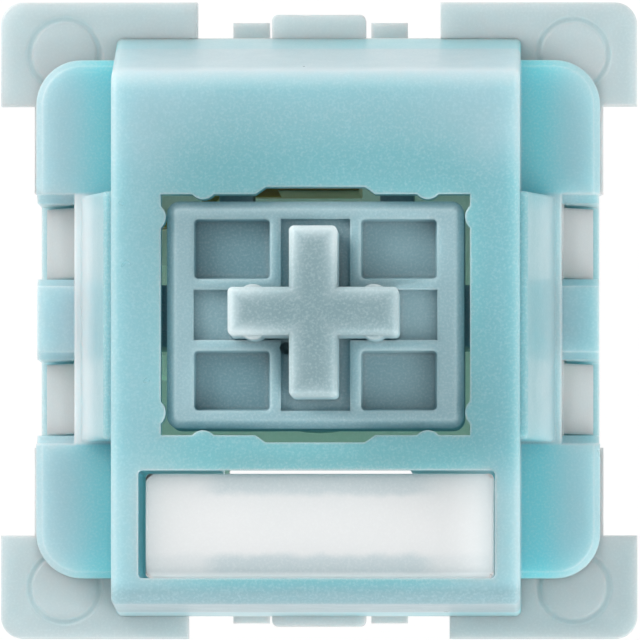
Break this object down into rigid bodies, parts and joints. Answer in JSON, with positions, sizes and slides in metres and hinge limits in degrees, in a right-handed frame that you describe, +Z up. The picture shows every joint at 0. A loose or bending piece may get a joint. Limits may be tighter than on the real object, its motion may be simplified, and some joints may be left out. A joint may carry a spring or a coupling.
{
  "type": "mechanical keyboard switch",
  "caption": "Plate-mount key switch: translucent housing halves, sliding stem with a cross, return spring, leaf contact with pins, and a clear light guide.",
  "frame": {"origin": "axis of the centre post and the stem, on the plane where the housing sits on the circuit board", "axes": "+Z up along the stem's travel, away from the board; +Y towards the side with the contacts; +X to the right when the light guide is nearest"},
  "size_m": [0.0156, 0.0156, 0.0185],
  "materials": {
    "teal_shell": "translucent, satin",
    "milky_shell": "milky, satin",
    "clear_guide": "clear",
    "slider": "satin",
    "spring_wire": "bright",
    "contact_sheet": "stamped",
    "leaf_sheet": "rolled",
    "contact_bar": "bright"
  },
  "bodies": {
    "housing": {"bottom_housing": "milky_shell", "top_housing": "teal_shell", "light_guide": "clear_guide", "spring": "spring_wire", "fixed_contact": "contact_sheet", "fixed_contact_point": "contact_bar", "moving_contact_terminal": "contact_sheet"},
    "stem": {"stem": "slider"},
    "leaf": {"moving_contact_leaf": "leaf_sheet", "moving_contact_point": "contact_bar"}
  },
  "joints": [
    {"name": "stem_slide", "type": "slide", "parent": "housing", "child": "stem", "axis": [0, 0, -1], "range_m": [0, 0.004], "stiffness_N_per_m": 60, "springref_m": -0.0063, "deforming": ["spring"]},
    {"name": "contact_flex", "type": "hinge", "parent": "housing", "child": "leaf", "pos_m": [0, 0.00496, 0.0013], "axis": [1, 0, 0], "range_deg": [0, 4.9]}
  ],
  "couplings": [
    {"joint": "contact_flex", "follows": "stem_slide", "rad_per_m": 21.3}
  ]
}
